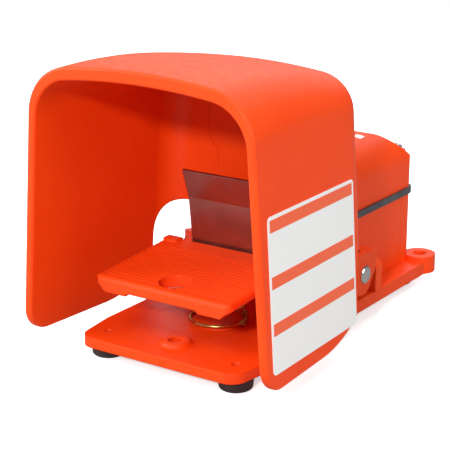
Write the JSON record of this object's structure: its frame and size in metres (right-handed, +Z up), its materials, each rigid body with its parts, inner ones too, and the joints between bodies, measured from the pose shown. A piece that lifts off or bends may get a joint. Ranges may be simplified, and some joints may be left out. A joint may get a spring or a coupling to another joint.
{
  "type": "industrial foot switch",
  "caption": "Guarded heavy-duty foot switch: hooded cast guard, grooved spring-loaded treadle with toe latch, and a sealed cast switch housing with conduit entry.",
  "frame": {"origin": "on the floor under the middle of the whole object's bounding box", "axes": "+X to the right as seen by someone who faces the guard's mouth; +Y from the mouth back to the conduit entry; +Z up"},
  "size_m": [0.1684, 0.2578, 0.1781],
  "materials": {
    "orange_paint": "semi-gloss enamel over sand-cast metal",
    "black_rubber": "matt moulded",
    "gasket_rubber": "matt, cut edge",
    "zinc_steel": "zinc plated",
    "ground_steel": "ground",
    "dark_steel": "black oxide",
    "spring_steel": "drawn wire",
    "gold_zinc": "yellow passivated",
    "stainless": "brushed",
    "bronze": "sintered",
    "brass_plate": "bright",
    "black_phenolic": "moulded",
    "ivory_plastic": "moulded",
    "green_screw": "dyed head"
  },
  "bodies": {
    "base": {"base_casting": "orange_paint", "switch_housing": "orange_paint", "housing_rear": "orange_paint", "down_stops": "black_rubber", "rubber_foot_front_left": "black_rubber", "rubber_foot_front_right": "black_rubber", "rubber_foot_rear_left": "black_rubber", "rubber_foot_rear_right": "black_rubber", "foot_screws": "zinc_steel", "guard": "orange_paint", "guard_screws": "zinc_steel", "cover_gasket": "gasket_rubber", "cover": "orange_paint", "cover_screws": "zinc_steel", "shaft_bush_left": "bronze", "shaft_bush_right": "bronze", "shaft_seal_left": "black_rubber", "shaft_seal_right": "black_rubber", "treadle_spring": "gold_zinc", "switch_body": "black_phenolic", "switch_bracket": "zinc_steel", "switch_screws": "zinc_steel", "bracket_screws": "zinc_steel", "terminal_screws": "brass_plate", "ground_screw": "green_screw"},
    "treadle": {"treadle": "orange_paint", "pivot_shaft": "ground_steel", "arm_pins": "dark_steel", "cam_lever": "dark_steel", "lever_screw": "dark_steel", "latch_pin": "ground_steel", "latch_clips": "dark_steel", "latch_spring": "spring_steel"},
    "latch": {"latch_plate": "stainless", "latch_spring_leg": "spring_steel"},
    "plunger": {"switch_plunger": "ivory_plastic"}
  },
  "joints": [
    {"name": "treadle_hinge", "type": "hinge", "parent": "base", "child": "treadle", "pos_m": [0, 0.02478, 0.0328], "axis": [1, 0, 0], "range_deg": [0, 8], "stiffness_Nm_per_rad": 6, "springref_deg": -20.05, "deforming": ["treadle_spring"]},
    {"name": "latch_hinge", "type": "hinge", "parent": "treadle", "child": "latch", "pos_m": [0, -0.02922, 0.05], "axis": [-1, 0, 0], "range_deg": [0, 12], "stiffness_Nm_per_rad": 0.5, "springref_deg": -17.19},
    {"name": "plunger_slide", "type": "slide", "parent": "base", "child": "plunger", "axis": [0, 0, 1], "range_m": [0, 0.0026]}
  ],
  "couplings": [
    {"joint": "plunger_slide", "follows": "treadle_hinge", "m_per_rad": 0.018}
  ]
}
